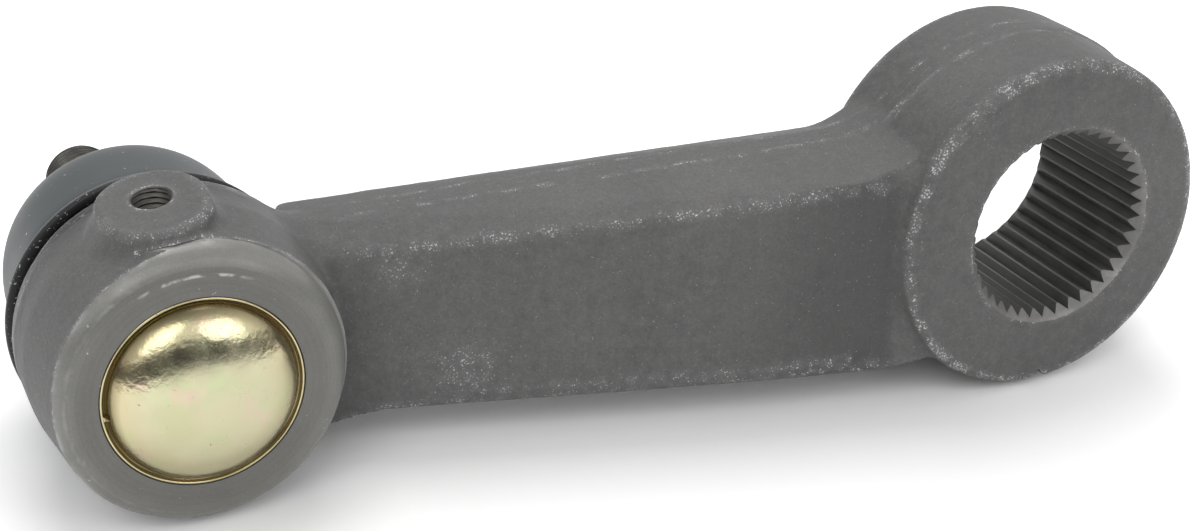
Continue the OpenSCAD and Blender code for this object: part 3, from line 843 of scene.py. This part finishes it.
def crown(r, top, steps):
    """Rows of a crown that falls away evenly from its middle to a steep wall."""
    rows = []
    for i in range(steps):
        turn = math.radians(90 * i / steps)
        fall = CROWN_FALL * (1 - math.cos(turn) ** CROWN_POWER)
        rows.append((r * math.sin(turn) ** CROWN_POWER, top + fall))
    return rows


def cap_burr():
    """Splinter that the shears left on the rim's left side."""
    angle = math.radians(BURR_ANGLE)
    rim = Vector((math.cos(angle), 0, math.sin(angle)))
    tangent = Vector((-rim.z, 0, rim.x))
    rim_r, half_width = 14.0, 0.35
    root = BALL + rim * rim_r - Vector((0, RING_FACE, 0))
    foot = root + rim * 0.2 + Vector((0, 0.5, 0))
    tip = root - rim * 0.75 - Vector((0, 0.25, 0)) + tangent * 0.3
    points = [root + tangent * half_width, root - tangent * half_width, foot, tip]
    return mesh_of("burr", points, [(0, 1, 2), (0, 1, 3), (1, 2, 3), (2, 0, 3)])


def end_cap():
    wall_r = CAP_R - CAP_GROOVE
    inner_r = wall_r - CAP_SHEET
    groove = -RING_FACE + 0.5
    rows = [p for p in crown(wall_r, -FACE_REACH, 48) if p[1] < groove]
    rows += [(wall_r - 0.1, groove + 0.05), (wall_r + 0.1, groove), (CAP_R - 0.42, -RING_FACE + 0.3)]
    rows += arc(CAP_R - 0.22, -RING_FACE + 0.2, 0.2, 190, 350, 8)
    rows += [(CAP_R, -RING_FACE + 0.5), (CAP_R, -CAP_BACK), (inner_r, -CAP_BACK)]
    rows += crown(inner_r, CAP_SHEET - FACE_REACH, 20)[::-1]
    cap = joined("end_cap_pressed", [spun("cup", rows, at_ball(), 192), cap_burr()])
    cap.data.materials.append(cap_finish())
    shade(cap, 50)
    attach(cap, "arm")
    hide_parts("end_cap")


end_cap()


# Ball stud: ball, neck, taper and rolled thread in one piece

def ball_stud():
    segments = 72
    taper_end = TAPER_START + TAPER_LENGTH
    taper_fall = TAPER_SLOPE * TAPER_LENGTH
    taper_steps = 12
    shoulder = TAPER_START - 4
    root = THREAD_R - STUD_THREAD_DEPTH
    neck_angle = math.degrees(math.acos(NECK_R / BALL_R))
    rows = arc(0, 0, BALL_R, -90, neck_angle, 40)
    rows[0] = (0, -BALL_R)
    rows += [(NECK_R, shoulder - 5), (NECK_R + 0.5, shoulder - 4)]
    rows += [(TAPER_R - 0.5, shoulder - 0.9), (TAPER_R, shoulder), (TAPER_R, TAPER_START)]
    for i in range(1, taper_steps + 1):
        share = i / taper_steps
        rows.append((TAPER_R - taper_fall * share, TAPER_START + TAPER_LENGTH * share))
    rows += [(root, taper_end + 0.9)]
    rows += thread_rows(root, THREAD_R, STUD_PITCH, taper_end + 1.2, STUD_REACH - 0.4, segments, (1.5, 1.3))
    rows += [(root - 0.4, STUD_REACH - 0.1), (root - 0.7, STUD_REACH)]
    rows += [(1.4, STUD_REACH), (0, STUD_REACH - 1.2)]
    stud = spun("ball_stud_threaded", rows, at_ball(), segments)
    stud.data.materials.append(stud_steel)
    out = vectors(stud.data.vertices, "co") / MM - np.array(BALL)
    # Painted shade in the thread's roots, stored as the groove
    below = (THREAD_R - np.hypot(out[:, 0], out[:, 2])) / (THREAD_R - root)
    on_thread = (out[:, 1] > taper_end + 1) & (below < 1.1)
    store(stud.data, "groove", np.clip(1.3 * below, 0, 0.9) * on_thread)
    shade(stud, 40)
    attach(stud, "stud")
    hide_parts("ball_stud")


ball_stud()


# Dust boot: one moulded bell, in two halves

def boot_wall(inset):
    """Rows of the bell's skin from the brim over the crease to the neck, moved in by the inset."""
    brim_r = BRIM_R - inset
    crease_r = CREASE_R - inset
    dome_r = BOOT_DOME_R - inset
    neck_r = BOOT_NECK_R + BOOT_WALL
    base = CREASE_REACH + 2.4
    height = DOME_REACH - inset - base
    rows = [(brim_r, BRIM_REACH + 0.7), (brim_r - 0.15, BRIM_REACH + 1.4), (brim_r - 0.5, BRIM_REACH + 2.2)]
    crease = ((0.75, -1.0), (0.2, -0.25), (0, 0.1), (0.16, 0.5), (0.4, 1.1), (0.54, 1.8))
    rows += [(crease_r + out, CREASE_REACH + on) for out, on in crease]
    last = math.acos((neck_r / dome_r) ** (BOOT_DOME_POWER / 2))
    steps = 48
    for i in range(steps + 1):
        a = last * (i / steps) ** 1.6
        up = math.sin(a) ** (2 / BOOT_DOME_POWER)
        rows.append((dome_r * math.cos(a) ** (2 / BOOT_DOME_POWER), base + height * up))
    return rows


def split_rows(rows):
    """The rows below and above the split, with a shared row on it."""
    low = [p for p in rows if p[1] <= BOOT_SPLIT]
    high = [p for p in rows if p[1] > BOOT_SPLIT]
    a, b = low[-1], high[0]
    share = (BOOT_SPLIT - a[1]) / (b[1] - a[1])
    middle = (a[0] + (b[0] - a[0]) * share, BOOT_SPLIT)
    return low + [middle], [middle] + high


def dust_boot():
    neck = [(BOOT_NECK_R + 0.9, DOME_REACH), (BOOT_NECK_R, DOME_REACH), (BOOT_NECK_R, DOME_REACH - 4)]
    lip = [(BRIM_R - BOOT_WALL, BRIM_REACH), (BRIM_R - 0.35, BRIM_REACH), (BRIM_R - 0.1, BRIM_REACH + 0.25)]
    skin_low, skin_high = split_rows(boot_wall(0))
    lining_low, lining_high = split_rows(boot_wall(BOOT_WALL))
    skirt = spun("boot_skirt", lip + skin_low + lining_low[::-1], at_ball(), 160, loop=True)
    crown_half = spun("boot_crown", skin_high + neck + lining_high[::-1], at_ball(), 160, loop=True)
    rubber = rubber_finish()
    for piece, bodies, start, end in ((skirt, ("arm", "boot"), BRIM_REACH + 1.0, BOOT_SPLIT),
                                      (crown_half, ("boot", "neck"), BOOT_SPLIT, DOME_REACH - 1.5)):
        piece.data.materials.append(rubber)
        reach = vectors(piece.data.vertices, "co")[:, 1] / MM - BALL.y
        # Painted highlight along the crease
        store(piece.data, "crease", np.exp(-((reach - CREASE_REACH) / 0.4) ** 2))
        # Painted shade on the brim's lip, facing the gap by the housing
        store(piece.data, "grease", 1 - smoothstep(reach - BRIM_REACH, 0.3, 1.1))
        shade(piece, 60)
        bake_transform(piece)
        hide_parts("dust_boot")


dust_boot()


# Pieces that keep their solid's shape

def finish_node(node, material):
    obj = frame["nodes"][node]
    obj.data.materials.clear()
    obj.data.materials.append(material)


finish_node("neck_ring", steel_finish("ring_steel", grey(0.2), grey(0.3), 0.35, 0.8))
bearing = steel_finish("sintered_steel", grey(0.28), grey(0.36), 0.45, 0.8)
finish_node("pressure_pad", bearing)
finish_node("upper_seat", bearing)


# Preload spring: the solid's coil, drawn in a little to lie under the rounded crown of the cap

def preload_spring():
    coil = link("preload_spring_coil", frame["nodes"]["preload_spring"].data.copy())
    axis = Matrix.Translation(BALL * MM)
    narrower = Matrix.Diagonal((SPRING_NARROWING, 1, SPRING_NARROWING, 1))
    coil.data.transform(axis @ narrower @ axis.inverted())
    coil.data.materials.clear()
    coil.data.materials.append(steel_finish("spring_wire", grey(0.32), grey(0.42), 0.3, 0.9))
    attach(coil, "arm")
    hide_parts("preload_spring")


preload_spring()


# Stage, in metres: white table and room, three soft boxes, and a dim side in front that only mirrors show

TABLE_REACH = 6.0
TABLE_COLOUR = (0.9, 0.905, 0.91, 1)
TABLE_SEEN = (1.22, 1.22, 1.22, 1)
TABLE_GLOW = 0.65
TABLE_GLOW_SPAN = (0.06, 0.3)
AMBIENT = 0.41
CEILING = 0.45
CEILING_SPAN = (0.6, 0.98)
STAGE_MIDDLE = Vector((BALL.x / 2, BALL.y, 0)) * MM

# Direction from the object, distance, width and power of each lamp
SOFT_BOXES = {
    "soft_box_top": ((0.1, 0.35, 0.93), 1.4, 0.9, 8.8),
    "soft_box_left": ((-0.43, -0.61, 0.66), 1.5, 0.85, 5.5),
    "soft_box_right": ((0.42, -0.77, 0.48), 1.5, 0.8, 4.3),
}

# Feet of the dim wall with the height of its top over each, and the dim floor's edge next to the object
DIM_WALL = ((4.2, 0.6, 0.7), (2.8, -2.2, 0.8), (-2.8, -2.2, 0.95), (-4.2, 0.6, 0.95))
DIM_FLOOR_EDGE = -0.2


def seen_directly(tree):
    """1 for rays from the camera, mirrors and glass, and 0 for light that bounces off surfaces."""
    path = tree.nodes.new("ShaderNodeLightPath")
    total = path.outputs["Is Camera Ray"]
    for name in ("Is Glossy Ray", "Is Transmission Ray"):
        add = tree.nodes.new("ShaderNodeMath")
        add.operation = "MAXIMUM"
        tree.links.new(total, add.inputs[0])
        tree.links.new(path.outputs[name], add.inputs[1])
        total = add.outputs[0]
    return total


def table():
    """White floor that keeps the shadow near the object and turns plain white to the eye further off."""
    z = FLOOR_Z * MM
    far = TABLE_REACH
    mesh = bpy.data.meshes.new("table")
    mesh.from_pydata([(-far, -far, z), (far, -far, z), (far, far, z), (-far, far, z)], [], [(0, 1, 2, 3)])
    plane = link("table", mesh)
    f = Finish("white_table", Roughness=0.8, Specular_IOR_Level=0.0, Emission_Color=(1, 1, 1, 1))
    direct = seen_directly(f.tree)
    f.set(Base_Color=f.mix(direct, TABLE_COLOUR, TABLE_SEEN))
    off = f.vector("DISTANCE", f.place, (STAGE_MIDDLE.x, STAGE_MIDDLE.y, z)).outputs["Value"]
    f.set(Emission_Strength=f.math("MULTIPLY", direct, f.ramp(off, *TABLE_GLOW_SPAN, 0.0, TABLE_GLOW)))
    mesh.materials.append(f.material)


def room():
    """White all round to the eye, darker at the ceiling, and an even weaker light for everything else."""
    world = bpy.data.worlds.new("studio")
    scene.world = world
    world.use_nodes = True
    tree = world.node_tree
    back = tree.nodes["Background"]
    back.inputs["Color"].default_value = (1, 1, 1, 1)
    place = tree.nodes.new("ShaderNodeTexCoord")
    height = tree.nodes.new("ShaderNodeSeparateXYZ")
    tree.links.new(place.outputs["Generated"], height.inputs[0])
    ceiling = tree.nodes.new("ShaderNodeMapRange")
    for label, value in zip(("From Min", "From Max", "To Min", "To Max"), (*CEILING_SPAN, 1.0, CEILING)):
        ceiling.inputs[label].default_value = value
    tree.links.new(height.outputs["Z"], ceiling.inputs["Value"])
    level = tree.nodes.new("ShaderNodeMapRange")
    level.inputs["To Min"].default_value = AMBIENT
    tree.links.new(ceiling.outputs["Result"], level.inputs["To Max"])
    tree.links.new(seen_directly(tree), level.inputs["Value"])
    tree.links.new(level.outputs["Result"], back.inputs["Strength"])


def soft_box(name, direction, distance, size, power):
    data = bpy.data.lights.new(name, "AREA")
    data.shape = "SQUARE"
    data.size = size
    data.energy = power
    lamp = bpy.data.objects.new(name, data)
    scene.collection.objects.link(lamp)
    towards = Vector(direction).normalized()
    lamp.location = STAGE_MIDDLE + towards * distance
    lamp.rotation_euler = towards.to_track_quat("Z", "Y").to_euler()


def dim_side():
    """Dark wall and strip of floor on the viewer's side, seen only in mirrors such as the cap's shoulder."""
    low = FLOOR_Z * MM
    points = [(x, y, z) for x, y, high in DIM_WALL for z in (low, high)]
    left, right, back = DIM_WALL[2][0], DIM_WALL[1][0], DIM_WALL[1][1]
    corners = ((right, DIM_FLOOR_EDGE), (left, DIM_FLOOR_EDGE), (left, back), (right, back))
    points += [(x, y, low + MM) for x, y in corners]
    mesh = bpy.data.meshes.new("dim_side")
    mesh.from_pydata(points, [], [(0, 1, 3, 2), (2, 3, 5, 4), (4, 5, 7, 6), (8, 9, 10, 11)])
    wall = link("dim_side", mesh)
    wall.visible_camera = False
    wall.visible_diffuse = False
    wall.visible_shadow = False
    f = Finish("dim_wall", Base_Color=(0.03, 0.03, 0.03, 1), Roughness=0.9)
    mesh.materials.append(f.material)


table()
room()
for box_name, box_settings in SOFT_BOXES.items():
    soft_box(box_name, *box_settings)
dim_side()


# Camera: its place, direction and lens follow from the round outlines of both ends in the picture

IMAGE_W = 1200
SENSOR_W = 36.0
FOCAL_PX = 2001.6
CAMERA_AT = Vector((-184.47, -241.28, 130.05))
CAMERA_FORWARD = Vector((0.372, 0.819, -0.437))
AXIS_LEFT_PX = 13.2
AXIS_LOW_PX = 5.4


def camera():
    data = bpy.data.cameras.new("camera")
    data.sensor_width = SENSOR_W
    data.lens = FOCAL_PX / IMAGE_W * data.sensor_width
    data.shift_x = AXIS_LEFT_PX / IMAGE_W
    data.shift_y = AXIS_LOW_PX / IMAGE_W
    data.clip_start = 0.01
    data.clip_end = 50.0
    eye = bpy.data.objects.new("camera", data)
    scene.collection.objects.link(eye)
    eye.location = CAMERA_AT * MM
    eye.rotation_euler = CAMERA_FORWARD.to_track_quat("-Z", "Y").to_euler()
    scene.camera = eye


camera()
scene.view_settings.view_transform = "Standard"
